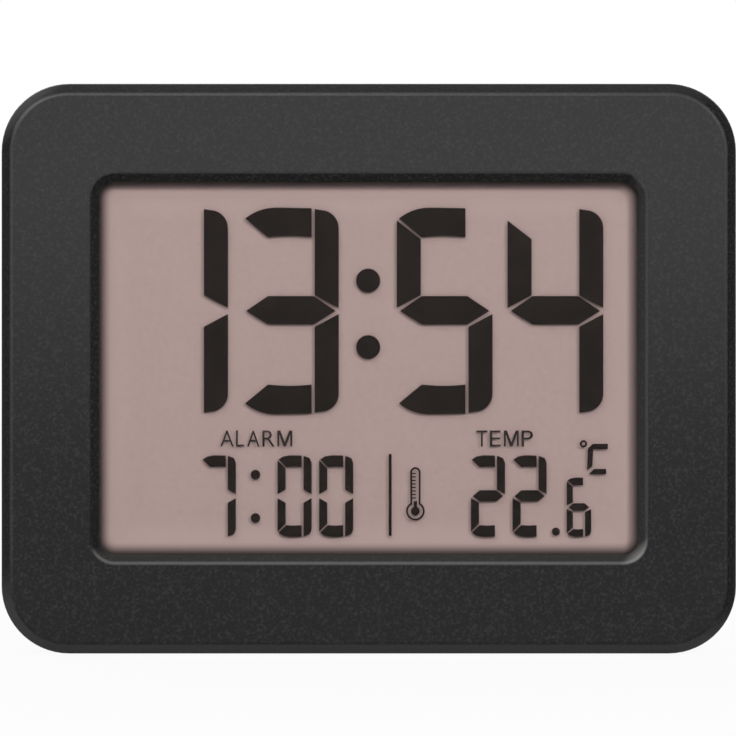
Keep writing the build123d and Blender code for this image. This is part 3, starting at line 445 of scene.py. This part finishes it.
def moulded_front():
    """Charcoal plastic with a fine spark-eroded grain, with painted light that makes the face a little paler
    towards the top. The slopes at its edge and at the window are in painted light and shade, and the ridges
    beside them have a clear coat for polish and a painted highlight."""
    finish = Finish("front_housing")
    x = finish.axis("X")
    z = finish.axis("Z")
    grain = finish.noise(spark_grain, detail=4.0, roughness=0.6)
    cloud = finish.noise(face_cloud)
    from_rim = finish.inside(body_width, body_height, body_corner)
    from_window = finish.inside(window_width, window_height, window_corner)
    # The upper left corner, where the slope and its ridge get a painted highlight and the coat is strongest
    gleam_start = body_height + body_width / 2 - body_corner
    gleam = finish.step(z - x, gleam_start, gleam_start + gleam_share * body_corner)
    below = 1.0 - finish.step(z, window_base - window_slope / 4, window_base + window_slope)
    beside = finish.step(x, window_width / 2 - window_slope, window_width / 2 + window_slope / 4)

    # Painted light: the face is paler towards its top
    tone = finish.blend(finish.step(z, face_dark_z, face_light_z), face_dark, face_light)
    before, past = [share * slope_fade for share in rim_fade_shares]
    # Painted light and shade on the slope round the face
    on_face = finish.step(from_rim, body_slope - before, body_slope + past)
    tone = finish.blend(on_face, face_slope_tone(finish, gleam), tone)
    # Painted light and shade on the slope down to the window
    on_splay = finish.step(from_window, -window_slope, slope_fade - window_slope)
    tone = finish.blend(on_splay, tone, window_slope_tone(finish, below, beside))
    tone = finish.blend(finish.step(grain, *speck_levels) * speck_share, tone, face_speck)
    outer = finish.band(from_rim, body_slope + ridge_shift, ridge_half)
    inner = finish.band(from_window, splay_shift - window_slope, splay_half)
    # Painted highlights on the ridge round the face at its upper left, and on the window's lower ridge
    tone = finish.blend(outer * gleam * outer_highlight_share, tone, painted_ridge_highlight)
    tone = finish.blend(inner * below * inner_highlight_share, tone, painted_ridge_highlight)

    coat = coat_least + coat_more * finish.step(z - x, *coat_rise) + coat_gleam * gleam
    coat = coat * finish.step(z, *[share * body_corner for share in coat_corner_shares])
    return finish.surface(
        {
            "Base Color": tone,
            "Roughness": 0.46 + 0.14 * grain + 0.04 * cloud,
            "Specular IOR Level": 0.05,
            "Coat Weight": outer * coat + inner * (coat_below * below + coat_beside * beside),
            "Coat Roughness": coat_roughness,
            "Normal": finish.bump(grain, spark_depth, 0.6),
        }
    )


def moulded_plastic(name, colour, paler, roughness, grain_depth=mould_depth):
    """Moulded plastic of one colour with a fine grain."""
    finish = Finish(name)
    grain = finish.noise(mould_grain, detail=3.0)
    cloud = finish.noise(mould_cloud)
    tone = finish.blend(finish.step(grain, 0.30, 0.80) * 0.3 + 0.2 * cloud, colour, paler)
    return finish.surface(
        {
            "Base Color": tone,
            "Roughness": roughness + 0.10 * grain,
            "Specular IOR Level": 0.2,
            "Normal": finish.bump(grain, grain_depth, 0.45),
        }
    )


def clear_sheet(name, index):
    """Clear acrylic or glass. Only its reflection shows: faint face on, and a mirror at a low angle."""
    finish = Finish(name)
    gloss = finish.node("ShaderNodeFresnel", {}, {"IOR": index})
    smear = finish.noise(lens_smear, detail=3.0)
    return finish.surface(
        {
            "Base Color": white,
            "Metallic": 1.0,
            "Roughness": 0.04 + 0.08 * smear,
            "Alpha": gloss,
        }
    )


def display_ground():
    """The display's reflective film: warm grey with a faint mottle, with painted light that makes it paler
    towards its border, and painted shade just inside the window's edge."""
    finish = Finish("reflector_film")
    mottle = finish.noise(film_mottle, detail=4.0, roughness=0.6)
    cloud = finish.noise(film_cloud)
    share = finish.step(mottle, 0.25, 0.75) * 0.6 + 0.4 * cloud
    inside = finish.inside(window_width, window_height, window_corner, shade_rise)
    rise = finish.size_of(finish.axis("Z") - middle_z)
    ends = finish.step(rise, *[window_height / 2 - inset for inset in border_ends])
    edges = 1.0 - finish.step(inside, *border_edges)
    ground = finish.blend(share, film_dark, film_pale)
    # Painted light, paler towards the film's border
    ground = finish.blend(0.5 * ends + 0.5 * edges, ground, film_painted_light)
    return finish.surface(
        {
            # Painted shade just inside the window's edge
            "Base Color": finish.blend(finish.step(inside, *shade_reach), film_painted_shade, ground),
            "Roughness": 0.55 + 0.1 * mottle,
            "Specular IOR Level": 0.0,
            "Normal": finish.bump(mottle, film_depth, 0.3),
        }
    )


def display_dark(name, colour):
    """Segments and signs of dark liquid crystal, and printed ink."""
    finish = Finish(name)
    cloud = finish.noise(ink_cloud, detail=3.0)
    paler = tuple(1.5 * part for part in colour)
    return finish.surface(
        {
            "Base Color": finish.blend(finish.step(cloud, 0.3, 0.8), colour, paler),
            "Roughness": 0.45 + 0.15 * cloud,
            "Specular IOR Level": 0.0,
        }
    )


def plated_metal(name, colour, roughness, brushed):
    """Bright plated metal with fine drawn lines along one axis."""
    finish = Finish(name)
    lines = finish.noise(drawn_lines, detail=3.0, stretch=brushed)
    spots = finish.noise(plating_spots, detail=3.0)
    darker = tuple(0.72 * part for part in colour)
    return finish.surface(
        {
            "Base Color": finish.blend(finish.step(spots, 0.35, 0.75), darker, colour),
            "Metallic": 1.0,
            "Roughness": roughness + 0.16 * lines,
            "Normal": finish.bump(lines, drawn_depth, 0.5),
        }
    )


def board_lacquer():
    """Green solder mask with the copper tracks showing faintly through it."""
    finish = Finish("circuit_board")
    settings = {"wave_type": "BANDS", "bands_direction": "X"}
    inputs = {"Vector": finish.place(), "Scale": track_scale, "Distortion": track_distortion}
    tracks = finish.step(finish.node("ShaderNodeTexWave", settings, inputs), 0.62, 0.78)
    weave = finish.noise(board_weave)
    return finish.surface(
        {
            "Base Color": finish.blend(tracks, (0.012, 0.085, 0.030), (0.030, 0.150, 0.060)),
            "Roughness": 0.32 + 0.1 * weave,
            "Normal": finish.bump(tracks, track_depth, 0.4),
        }
    )


def soft_rubber(name, colour, paler):
    """Foam, silicone or soft PVC."""
    finish = Finish(name)
    pores = finish.noise(rubber_pores, detail=4.0, roughness=0.7)
    return finish.surface(
        {
            "Base Color": finish.blend(finish.step(pores, 0.35, 0.7), colour, paler),
            "Roughness": 0.72 + 0.15 * pores,
            "Normal": finish.bump(pores, pore_depth, 0.5),
        }
    )


def cell_wrap():
    """A plain cell's dark printed wrap, which leaves the steel bare at the cell's positive end."""
    finish = Finish("cell_wrap")
    steel = finish.step(finish.size_of(finish.axis("X")), wrap_end, steel_start)
    scuff = finish.noise(wrap_scuff, detail=4.0)
    wrap = finish.blend(finish.step(scuff, 0.4, 0.8) * 0.5, (0.030, 0.034, 0.042), (0.060, 0.066, 0.078))
    return finish.surface(
        {
            "Base Color": finish.blend(steel, wrap, (0.58, 0.57, 0.55)),
            "Metallic": steel,
            "Roughness": 0.30 + 0.12 * scuff,
            "Coat Weight": 0.3 - 0.3 * steel,
        }
    )


finishes = {
    "front_housing": moulded_front(),
    "rear_housing": moulded_plastic(
        "rear_housing", (0.0190, 0.0190, 0.0192), (0.0420, 0.0420, 0.0420), 0.54
    ),
    "key_plastic": moulded_plastic(
        "key_plastic", (0.0130, 0.0130, 0.0135), (0.0240, 0.0240, 0.0245), 0.36, satin_depth
    ),
    "clear_lens": clear_sheet("clear_lens", 1.11),
    "display_glass": clear_sheet("display_glass", 1.06),
    "display_ink": display_dark("display_ink", (0.0150, 0.0115, 0.0098)),
    "reflector_film": display_ground(),
    "white_plastic": moulded_plastic("white_plastic", (0.56, 0.55, 0.52), (0.66, 0.65, 0.62), 0.42),
    "black_foam": soft_rubber("black_foam", (0.010, 0.010, 0.010), (0.030, 0.030, 0.030)),
    "connector_rubber": soft_rubber("connector_rubber", (0.060, 0.060, 0.066), (0.160, 0.160, 0.170)),
    "circuit_board": board_lacquer(),
    "nickel_plate": plated_metal("nickel_plate", (0.66, 0.64, 0.60), 0.22, (8.0, 1.0, 1.0)),
    "black_resin": moulded_plastic(
        "black_resin", (0.010, 0.010, 0.011), (0.022, 0.022, 0.023), 0.28, satin_depth
    ),
    "component_body": moulded_plastic("component_body", (0.20, 0.17, 0.13), (0.34, 0.29, 0.23), 0.40),
    "cell_wrap": cell_wrap(),
    "red_insulation": soft_rubber("red_insulation", (0.30, 0.015, 0.015), (0.46, 0.03, 0.03)),
    "black_insulation": soft_rubber("black_insulation", (0.012, 0.012, 0.012), (0.03, 0.03, 0.03)),
}
zinc_plate = plated_metal("zinc_plate", (0.50, 0.50, 0.51), 0.30, (1.0, 1.0, 6.0))
mark_ink = display_dark("mark_ink", (0.36, 0.36, 0.36))
word_ink = display_dark("word_ink", (0.030, 0.024, 0.022))

slot_of = {row["node"]: row["material_slot"] for row in frame["record"]["subparts"]}
for name, part in nodes.items():
    for slot in part.material_slots:
        slot.material = finishes[slot_of[name]]


# Making pieces


def add_piece(name, mesh, material, body):
    """Puts a finished mesh into the scene on the body that carries it."""
    piece = bpy.data.objects.new(name, mesh)
    mesh.materials.clear()
    mesh.materials.append(material)
    bpy.context.scene.collection.objects.link(piece)
    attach(piece, body)
    return piece


def mesh_of(bm, name):
    """Turns a bmesh into a mesh that is shaded smooth except at its sharp edges."""
    mesh = bpy.data.meshes.new(name)
    bm.to_mesh(mesh)
    bm.free()
    mesh.shade_smooth()
    mesh.set_sharp_from_angle(angle=smooth_angle)
    return mesh


def is_ridge(edge):
    """Whether two faces meet at an edge by more than a curve's facets do."""
    return edge.is_manifold and edge.calc_face_angle(0.0) > ridge_angle


def round_edges(bm, edges, rounding, clamp):
    """Rounds edges by a radius, in a count of facets."""
    radius, facets = rounding
    bmesh.ops.bevel(
        bm,
        geom=edges,
        offset=radius,
        offset_type="OFFSET",
        segments=facets,
        profile=0.5,
        affect="EDGES",
        clamp_overlap=clamp,
        material=-1,
    )


def at_depth(*depths):
    """A test for edges that lie wholly at one of the depths."""

    def test(edge):
        return any(all(abs(vert.co.y - depth) < depth_slack for vert in edge.verts) for depth in depths)

    return test


def softened(name, body, roundings):
    """A copy of a CAD moulding with its visible ridges rounded, which stands for the CAD node."""
    bm = bmesh.new()
    bm.from_mesh(nodes[name].data)
    bmesh.ops.remove_doubles(bm, verts=bm.verts, dist=merge_distance)
    bmesh.ops.dissolve_limit(bm, angle_limit=flat_angle, verts=bm.verts, edges=bm.edges)
    for chosen, rounding in roundings:
        round_edges(bm, [edge for edge in bm.edges if is_ridge(edge) and chosen(edge)], rounding, False)
    bmesh.ops.triangulate(bm, faces=[face for face in bm.faces if len(face.verts) > 4])
    slot = slot_of[name]
    piece = add_piece(f"{name}_moulding", mesh_of(bm, name), finishes[slot], body)
    weighted = piece.modifiers.new("level faces", "WEIGHTED_NORMAL")
    weighted.keep_sharp = True
    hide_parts(name)


# Mouldings


def outer_ridge(edge):
    """The ridge between the face and the slope round it."""
    point = (edge.verts[0].co + edge.verts[1].co) / 2
    beside = abs(point.x) > window_width / 2 + ridge_margin
    above_or_below = abs(point.z - middle_z) > window_height / 2 + ridge_margin
    return at_depth(face_y)(edge) and (beside or above_or_below)


def window_ridge(edge):
    """The edge between the face and the slope down to the window."""
    return at_depth(face_y)(edge) and not outer_ridge(edge)


def back_of(node):
    """A test for the edges round the back of a node."""
    return at_depth(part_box(node)[1].y)


softened(
    "front_case",
    "housing",
    [
        (outer_ridge, face_rounding),
        (at_depth(face_y + slope_depth), side_rounding),
        (window_ridge, window_rounding),
        (at_depth(lens_low.y - window_lip), lip_rounding),
    ],
)
softened(
    "rear_cover",
    "housing",
    [(at_depth(back_y), lip_rounding), (at_depth(back_y - back_slope_depth), back_rounding)],
)
softened("battery_door", "door", [(back_of("battery_door"), lip_rounding)])
softened("folding_foot", "foot", [(back_of("folding_foot"), lip_rounding)])
for key in ("set", "up", "down", "snooze", "unit"):
    softened(f"key_{key}", f"{key}_key", [(back_of(f"key_{key}"), key_rounding)])


# Display cell


def display_cell():
    """The display's two glasses and its front film, bonded into one stepped block. Its back laps into the
    film behind it by a hair, so that the two never share a face."""
    front_low, front_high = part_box("lcd_front_glass")
    rear_low, rear_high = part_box("lcd_rear_glass")
    film_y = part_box("front_polarizer")[0].y
    step_y = front_high.y
    end_y = rear_high.y + cell_lap
    profile = [
        (film_y, front_low.z),
        (step_y, front_low.z),
        (step_y, rear_low.z),
        (end_y, rear_low.z),
        (end_y, rear_high.z),
        (step_y, rear_high.z),
        (step_y, front_high.z),
        (film_y, front_high.z),
    ]
    bm = bmesh.new()
    bm.faces.new([bm.verts.new((front_low.x, y, z)) for y, z in profile])
    made = bmesh.ops.extrude_face_region(bm, geom=bm.faces[:])
    moved = [item for item in made["geom"] if isinstance(item, bmesh.types.BMVert)]
    bmesh.ops.translate(bm, verts=moved, vec=(front_high.x - front_low.x, 0.0, 0.0))
    bmesh.ops.recalc_face_normals(bm, faces=bm.faces[:])
    bmesh.ops.bevel(
        bm, geom=bm.edges[:], offset=cell_chamfer, segments=1, profile=0.5, affect="EDGES", material=-1
    )
    mesh = mesh_of(bm, "display_cell")
    piece = add_piece("display_cell", mesh, finishes["display_glass"], "housing")
    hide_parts("front_polarizer", "lcd_front_glass", "lcd_rear_glass")


display_cell()


# Display words and signs


def spot(across, up):
    """A place on the display from its shares of the window, in metres."""
    return window_left + across * window_width, window_base + up * window_height


def arc(centre, radius, start, end, steps):
    """Points along an arc, in degrees from +X."""
    turns = [radians(start + (end - start) * i / steps) for i in range(steps + 1)]
    return [(centre[0] + radius * cos(turn), centre[1] + radius * sin(turn)) for turn in turns]


def settled_mesh(name, curve):
    """The mesh of a curve or a word, after which the curve is removed."""
    holder = bpy.data.objects.new(name, curve)
    mesh = bpy.data.meshes.new_from_object(holder)
    bpy.data.objects.remove(holder)
    bpy.data.curves.remove(curve)
    return mesh


def flat_mesh(name, loops, thickness):
    """A flat form filled inside its loops, which lie in X and Y, as a thin solid mesh."""
    curve = bpy.data.curves.new(name, "CURVE")
    curve.dimensions = "2D"
    curve.fill_mode = "BOTH"
    curve.extrude = thickness / 2
    for loop in loops:
        spline = curve.splines.new("POLY")
        spline.points.add(len(loop) - 1)
        for point, (x, y) in zip(spline.points, loop):
            point.co = (x, y, 0.0, 1.0)
        spline.use_cyclic_u = True
    return settled_mesh(name, curve)


def word_mesh(name, word):
    """A word in plain letters as a flat mesh."""
    curve = bpy.data.curves.new(name, "FONT")
    curve.body = word
    curve.offset = -letter_thinning
    return settled_mesh(name, curve)


def thickened(mesh, thickness):
    """Gives a flat mesh its thickness."""
    bm = bmesh.new()
    bm.from_mesh(mesh)
    bmesh.ops.remove_doubles(bm, verts=bm.verts, dist=weld_distance)
    made = bmesh.ops.extrude_face_region(bm, geom=bm.faces[:])
    raised = [item for item in made["geom"] if isinstance(item, bmesh.types.BMVert)]
    bmesh.ops.translate(bm, verts=raised, vec=(0.0, 0.0, thickness))
    bmesh.ops.recalc_face_normals(bm, faces=bm.faces[:])
    bm.to_mesh(mesh)
    bm.free()


def fitted(mesh, left, right, base, top):
    """Scales a mesh in X and Y to fill a box."""
    xs = [vert.co.x for vert in mesh.vertices]
    ys = [vert.co.y for vert in mesh.vertices]
    wide = (right - left) / (max(xs) - min(xs))
    high = (top - base) / (max(ys) - min(ys))
    mesh.transform(Matrix.Translation((-min(xs), -min(ys), 0.0)))
    mesh.transform(Matrix.Diagonal((wide, high, 1.0, 1.0)))
    mesh.transform(Matrix.Translation((left, base, 0.0)))


def on_display(mesh):
    """Stands a flat mesh up on the back of the front glass."""
    depth = (segments_low.y + segments_high.y) / 2
    mesh.transform(Matrix.Translation((0.0, depth, 0.0)) @ Matrix.Rotation(pi / 2, 4, "X"))


def deep_m_loop():
    """The outline of an M, one unit wide and high, whose middle strokes reach the line."""
    return [
        (0.0, 0.0),
        (0.0, 1.0),
        (m_shoulder, 1.0),
        (0.5, m_notch),
        (1.0 - m_shoulder, 1.0),
        (1.0, 1.0),
        (1.0, 0.0),
        (1.0 - m_stem, 0.0),
        (1.0 - m_stem, m_fork),
        (0.5 + m_foot, 0.0),
        (0.5 - m_foot, 0.0),
        (m_stem, m_fork),
        (m_stem, 0.0),
    ]


def display_word(name, letters):
    """A word as one mesh, whose letters each fill a box of their own."""
    bm = bmesh.new()
    for letter, left_share, right_share in letters:
        left, base = spot(left_share, word_base_up)
        right, top = spot(right_share, word_top_up)
        mesh = flat_mesh(name, [deep_m_loop()], 0.0) if letter == "M" else word_mesh(name, letter)
        fitted(mesh, left, right, base, top)
        bm.from_mesh(mesh)
    bm.to_mesh(mesh)
    bm.free()
    thickened(mesh, segment_thickness)
    mesh.transform(Matrix.Translation((0.0, 0.0, -segment_thickness / 2)))
    on_display(mesh)
    add_piece(name, mesh, word_ink, "housing")


def display_sign(name, loops):
    """A sign of the display, filled inside its loops."""
    mesh = flat_mesh(name, loops, segment_thickness)
    on_display(mesh)
    add_piece(name, mesh, finishes["display_ink"], "housing")


def open_angle(half_width, radius):
    """How far from +X a round bulb ends where a neck of a half width leaves its top, in degrees."""
    return 90.0 - (half_width / radius) * 180.0 / pi


def tube_loop(inset):
    """The thermometer's outline, drawn in by inset."""
    x, bulb_z = spot(thermometer_across, bulb_up)
    _, top_z = spot(thermometer_across, tube_top_up)
    bulb = bulb_radius - inset
    tube = tube_radius - inset
    neck = open_angle(tube, bulb)
    top = arc((x, top_z - tube_radius), tube, 0.0, 180.0, tube_steps)
    return top + arc((x, bulb_z), bulb, 180.0 - neck, 360.0 + neck, bulb_steps)


def column_loop():
    """The thermometer's column: a drop in the bulb and a thin stem."""
    x, bulb_z = spot(thermometer_across, bulb_up)
    _, top_z = spot(thermometer_across, column_top_up)
    neck = open_angle(column_half, drop_radius)
    stem = [(x + column_half, top_z), (x - column_half, top_z)]
    return stem + arc((x, bulb_z), drop_radius, 180.0 - neck, 360.0 + neck, drop_steps)


def tick_loops():
    """The thermometer's scale: short lines inside the left of its tube."""
    left = spot(thermometer_across, 0.0)[0] - tube_radius + sign_line - tick_lap
    loops = []
    for i in range(tick_count):
        z = spot(0.0, tick_base_up + i * tick_pitch_up)[1]
        low = z - tick_line / 2
        high = z + tick_line / 2
        loops.append([(left, low), (left + tick_length, low), (left + tick_length, high), (left, high)])
    return loops


def unit_loops():
    """The C of the temperature's unit: a bent upper stroke and a level lower one."""
    left, base = spot(unit_left, unit_base)
    right, top = spot(unit_right, unit_top)
    bend = left + unit_lean
    upper = [
        (left, base + 0.7 * unit_line),
        (bend, top - 0.9 * unit_line),
        (bend + 0.9 * unit_line, top),
        (right, top),
        (right, top - unit_line),
        (bend + unit_line, top - unit_line),
        (left + unit_line, base + 1.5 * unit_line),
    ]
    lower = [
        (left + unit_gap, base),
        (left + unit_gap + unit_line, base + unit_line),
        (right - unit_gap, base + unit_line),
        (right - unit_gap, base),
    ]
    return [upper, lower]


def ring_loops():
    """The degree sign: a small ring."""
    radii = (degree_radius, degree_radius - degree_line)
    return [arc(spot(*degree_place), radius, 0.0, ring_end, ring_steps) for radius in radii]


display_word("word_alarm", alarm_letters)
display_word("word_temp", temp_letters)
display_sign("thermometer_outline", [tube_loop(0.0), tube_loop(sign_line)])
display_sign("thermometer_scale", tick_loops())
display_sign("thermometer_column", [column_loop()])
display_sign("degree_ring", ring_loops())
display_sign("unit_c", unit_loops())


# Case screws and switch marks


def add_rod(bm, radius, length, facets, middle):
    """A closed round rod along Y about a middle."""
    bmesh.ops.create_cone(
        bm,
        cap_ends=True,
        segments=facets,
        radius1=radius,
        radius2=radius,
        depth=length,
        matrix=Matrix.Translation(middle) @ Matrix.Rotation(pi / 2, 4, "X"),
    )


def screw_body(x, z):
    """A pan head screw seated in its well, with its shank towards the face."""
    seat = back_y - screw_seat_depth
    bm = bmesh.new()
    head_middle = (x, seat + screw_head_height / 2, z)
    add_rod(bm, screw_head_radius, screw_head_height, screw_head_facets, head_middle)
    top = [edge for edge in bm.edges if at_depth(seat + screw_head_height)(edge)]
    round_edges(bm, top, screw_rounding, True)
    shank_middle = (x, seat - screw_shank_length / 2, z)
    add_rod(bm, screw_shank_radius, screw_shank_length, screw_shank_facets, shank_middle)
    return bm


def cross_cutter(x, z):
    """The cross that is cut into a screw's head."""
    top = back_y - screw_seat_depth + screw_head_height
    bm = bmesh.new()
    for wide, high in ((cross_length, cross_width), (cross_width, cross_length)):
        scale = Matrix.Diagonal((wide, 2 * cross_depth, high, 1.0))
        bmesh.ops.create_cube(bm, size=1.0, matrix=Matrix.Translation((x, top, z)) @ scale)
    return bm


def cut_mesh(solid, cutter, name):
    """One bmesh less another, as a mesh."""
    parts = []
    for bm in (solid, cutter):
        mesh = bpy.data.meshes.new(name)
        bm.to_mesh(mesh)
        bm.free()
        part = bpy.data.objects.new(name, mesh)
        bpy.context.scene.collection.objects.link(part)
        parts.append(part)
    boolean = parts[0].modifiers.new("cut", "BOOLEAN")
    boolean.operation = "DIFFERENCE"
    boolean.use_self = True
    boolean.object = parts[1]
    graph = bpy.context.evaluated_depsgraph_get()
    mesh = bpy.data.meshes.new_from_object(parts[0].evaluated_get(graph))
    for part in parts:
        bpy.data.objects.remove(part)
    mesh.shade_smooth()
    mesh.set_sharp_from_angle(angle=screw_smooth_angle)
    return mesh


def case_screw(corner, side, end):
    """The case screw in one corner of the back, with a cross in its head."""
    name = f"case_screw_{corner}"
    x = side * (body_width / 2 - screw_inset)
    z = middle_z + end * (body_height / 2 - screw_inset)
    add_piece(name, cut_mesh(screw_body(x, z), cross_cutter(x, z), name), zinc_plate, "housing")


def switch_mark(name, word, x, z):
    """A small printed word on the back, read from behind."""
    mesh = word_mesh(name, word)
    width = len(word) * mark_height * mark_width_share
    fitted(mesh, -width / 2, width / 2, -mark_height / 2, mark_height / 2)
    thickened(mesh, mark_thickness)
    upright = Matrix.Rotation(pi, 4, "Z") @ Matrix.Rotation(pi / 2, 4, "X")
    mesh.transform(Matrix.Translation((x, back_y, z)) @ upright)
    add_piece(name, mesh, mark_ink, "housing")


case_screw("lower_left", -1, -1)
case_screw("lower_right", 1, -1)
case_screw("upper_left", -1, 1)
case_screw("upper_right", 1, 1)

knob_low, knob_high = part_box("slide_knob")
knob_x = (knob_low.x + knob_high.x) / 2
mark_z = knob_high.z + mark_rise
switch_mark("mark_off", "OFF", knob_x + off_shift, mark_z)
switch_mark("mark_on", "ON", knob_x + on_shift, mark_z)


# Studio


def stage_floor():
    """A plain floor that shows white and keeps the clock's soft shadow."""
    bm = bmesh.new()
    bmesh.ops.create_grid(bm, x_segments=1, y_segments=1, size=floor_size)
    mesh = bpy.data.meshes.new("studio_floor")
    bm.to_mesh(mesh)
    bm.free()
    floor = bpy.data.objects.new("studio_floor", mesh)
    bpy.context.scene.collection.objects.link(floor)
    finish = Finish("studio_white")
    glow = finish.node("ShaderNodeEmission", {}, {"Color": white, "Strength": 1.0})
    paint = finish.node("ShaderNodeBsdfDiffuse", {}, {"Color": floor_paint})
    share = finish.seen_white() * floor_white_share
    mixed = finish.node("ShaderNodeMixShader", {}, {0: share, 1: paint, 2: glow})
    finish.node("ShaderNodeOutputMaterial", {}, {"Surface": mixed})
    mesh.materials.append(finish.material)


def studio_world():
    """An even grey light, which looks white behind the clock."""
    world = bpy.data.worlds.new("studio")
    world.use_nodes = True
    finish = Finish("studio", world.node_tree)
    light = finish.node("ShaderNodeBackground", {}, {"Color": white, "Strength": room_light})
    bright = finish.node("ShaderNodeBackground", {}, {"Color": white, "Strength": 1.0})
    mixed = finish.node("ShaderNodeMixShader", {}, {0: finish.seen_white(), 1: light, 2: bright})
    finish.node("ShaderNodeOutputWorld", {}, {"Surface": mixed})
    bpy.context.scene.world = world


def soft_lamp(name, place, size, brightness):
    """A soft box of a width and a height that points at the middle of the face."""
    width, height = size
    lamp = bpy.data.lights.new(name, "AREA")
    lamp.shape = "RECTANGLE"
    lamp.size = width
    lamp.size_y = height
    lamp.energy = brightness * pi * width * height
    holder = bpy.data.objects.new(name, lamp)
    holder.location = place
    holder.rotation_mode = "QUATERNION"
    aim = Vector((0.0, face_y, middle_z)) - Vector(place)
    holder.rotation_quaternion = aim.to_track_quat("-Z", "Y")
    holder.visible_camera = False
    bpy.context.scene.collection.objects.link(holder)


def photo_camera():
    """A long lens straight in front, whose frame is the photograph's."""
    camera = bpy.data.cameras.new("camera")
    camera.sensor_width = sensor_width
    pixel = body_width / clock_pixels
    camera.lens = sensor_width * camera_distance / (photo_side * pixel)
    camera.clip_start = nearest_seen
    camera.clip_end = furthest_seen
    holder = bpy.data.objects.new("camera", camera)
    depth = face_y + slope_depth - camera_distance
    holder.location = (-right_pixels * pixel, depth, middle_z + down_pixels * pixel)
    holder.rotation_euler = (pi / 2, 0.0, 0.0)
    bpy.context.scene.collection.objects.link(holder)
    bpy.context.scene.camera = holder


stage_floor()
studio_world()
for lamp in lamps:
    soft_lamp(*lamp)
photo_camera()
bpy.context.scene.view_settings.view_transform = "Standard"
